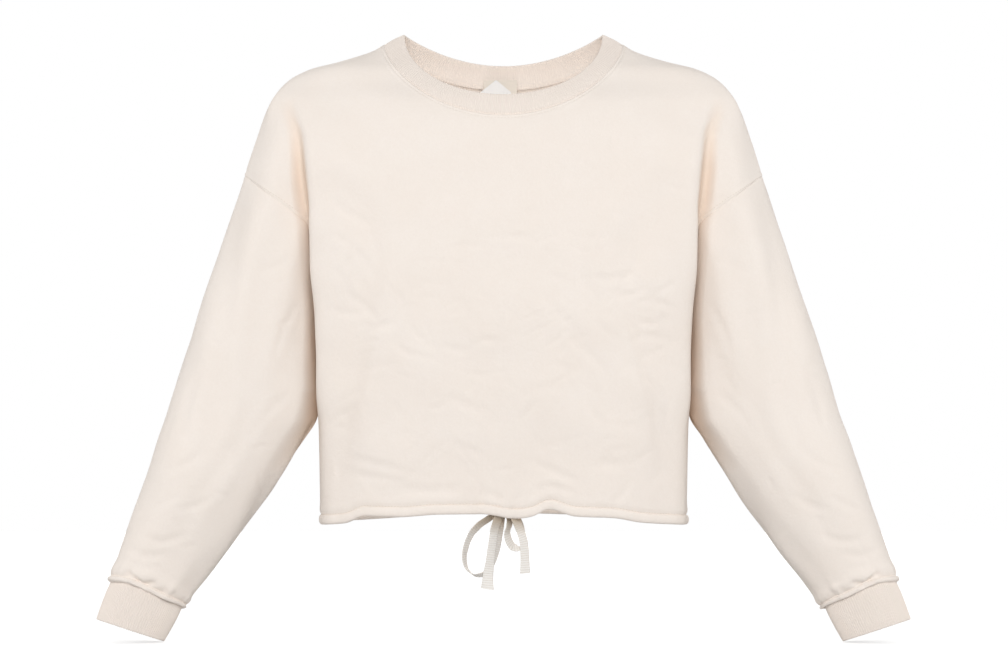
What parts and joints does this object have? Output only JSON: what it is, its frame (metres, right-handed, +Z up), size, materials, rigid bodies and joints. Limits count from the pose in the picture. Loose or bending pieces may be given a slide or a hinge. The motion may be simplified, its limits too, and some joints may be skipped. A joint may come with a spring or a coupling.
{
  "type": "sweatshirt",
  "caption": "Cropped drop-shoulder crew-neck sweatshirt in its worn, hollow form, with ribbed neck and cuffs and a drawstring hem tied in a bow.",
  "frame": {"origin": "centre of the neck opening, on the centre line, at the height where the neckband meets the shoulder line; the wearer's shoulders hold the garment there", "axes": "+Z up, the front faces -Y, the wearer's left side is at +X"},
  "size_m": [0.813, 0.203, 0.6068],
  "materials": {
    "cloth": "matt cream loopback cotton jersey, brushed soft",
    "rib": "matt cream fine rib knit",
    "tape": "cream cotton tape with fine cross ribs",
    "label": "white woven label, bare"
  },
  "bodies": {
    "root": {"front_panel": "cloth", "back_panel": "cloth", "sleeve_left": "cloth", "sleeve_right": "cloth", "hem_casing_front": "cloth", "hem_casing_back": "cloth", "neckband": "rib", "cuff_left": "rib", "cuff_right": "rib", "drawstring_loop_left": "tape", "drawstring_loop_right": "tape", "drawstring_tail_left": "tape", "drawstring_tail_right": "tape", "drawstring_knot": "tape", "neck_label": "label", "size_tab": "label"}
  },
  "joints": []
}
